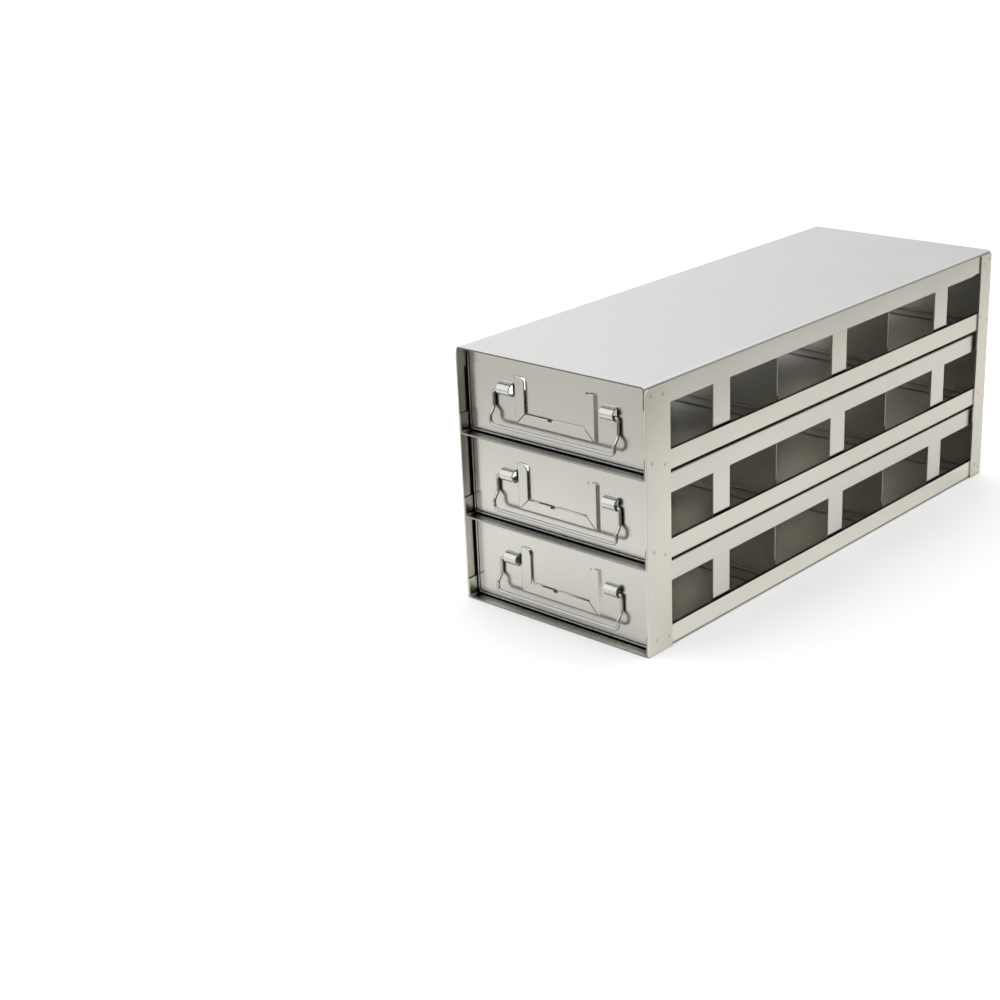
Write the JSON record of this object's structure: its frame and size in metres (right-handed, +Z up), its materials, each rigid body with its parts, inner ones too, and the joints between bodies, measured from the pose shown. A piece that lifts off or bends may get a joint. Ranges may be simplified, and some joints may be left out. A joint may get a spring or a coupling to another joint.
{
  "type": "freezer drawer rack",
  "caption": "Sheet steel freezer rack whose pull-out drawers have windowed sides, dividers for boxes, a card holder on the front and a hanging wire bail.",
  "frame": {"origin": "middle of the footprint, on the surface that the rack stands on", "axes": "+Z up, the drawers pull out towards -Y, +X to the right seen from the front"},
  "size_m": [0.157, 0.419, 0.178],
  "materials": {
    "cover_sheet": "satin",
    "frame_sheet": "satin",
    "drawer_sheet": "satin",
    "front_sheet": "satin",
    "divider_sheet": "satin",
    "wire": "polished"
  },
  "bodies": {
    "rack": {"top_cover": "cover_sheet", "upper_shelf": "frame_sheet", "middle_shelf": "frame_sheet", "bottom_shelf": "frame_sheet", "front_post_left": "frame_sheet", "front_post_right": "frame_sheet", "rear_post_left": "frame_sheet", "rear_post_right": "frame_sheet"},
    "upper_drawer": {"upper_tray": "drawer_sheet", "upper_front": "front_sheet", "upper_front_divider": "divider_sheet", "upper_rear_divider": "divider_sheet", "upper_rear_wall": "divider_sheet"},
    "upper_bail": {"upper_bail": "wire"},
    "middle_drawer": {"middle_tray": "drawer_sheet", "middle_front": "front_sheet", "middle_front_divider": "divider_sheet", "middle_rear_divider": "divider_sheet", "middle_rear_wall": "divider_sheet"},
    "middle_bail": {"middle_bail": "wire"},
    "lower_drawer": {"lower_tray": "drawer_sheet", "lower_front": "front_sheet", "lower_front_divider": "divider_sheet", "lower_rear_divider": "divider_sheet", "lower_rear_wall": "divider_sheet"},
    "lower_bail": {"lower_bail": "wire"}
  },
  "joints": [
    {"name": "upper_drawer_slide", "type": "slide", "parent": "rack", "child": "upper_drawer", "axis": [0, -1, 0], "range_m": [0, 0.38]},
    {"name": "upper_bail_swing", "type": "hinge", "parent": "upper_drawer", "child": "upper_bail", "pos_m": [0, -0.2031, 0.15216], "axis": [-1, 0, 0], "range_deg": [0, 95]},
    {"name": "middle_drawer_slide", "type": "slide", "parent": "rack", "child": "middle_drawer", "axis": [0, -1, 0], "range_m": [0, 0.38]},
    {"name": "middle_bail_swing", "type": "hinge", "parent": "middle_drawer", "child": "middle_bail", "pos_m": [0, -0.2031, 0.09316], "axis": [-1, 0, 0], "range_deg": [0, 95]},
    {"name": "lower_drawer_slide", "type": "slide", "parent": "rack", "child": "lower_drawer", "axis": [0, -1, 0], "range_m": [0, 0.38]},
    {"name": "lower_bail_swing", "type": "hinge", "parent": "lower_drawer", "child": "lower_bail", "pos_m": [0, -0.2031, 0.03416], "axis": [-1, 0, 0], "range_deg": [0, 95]}
  ]
}
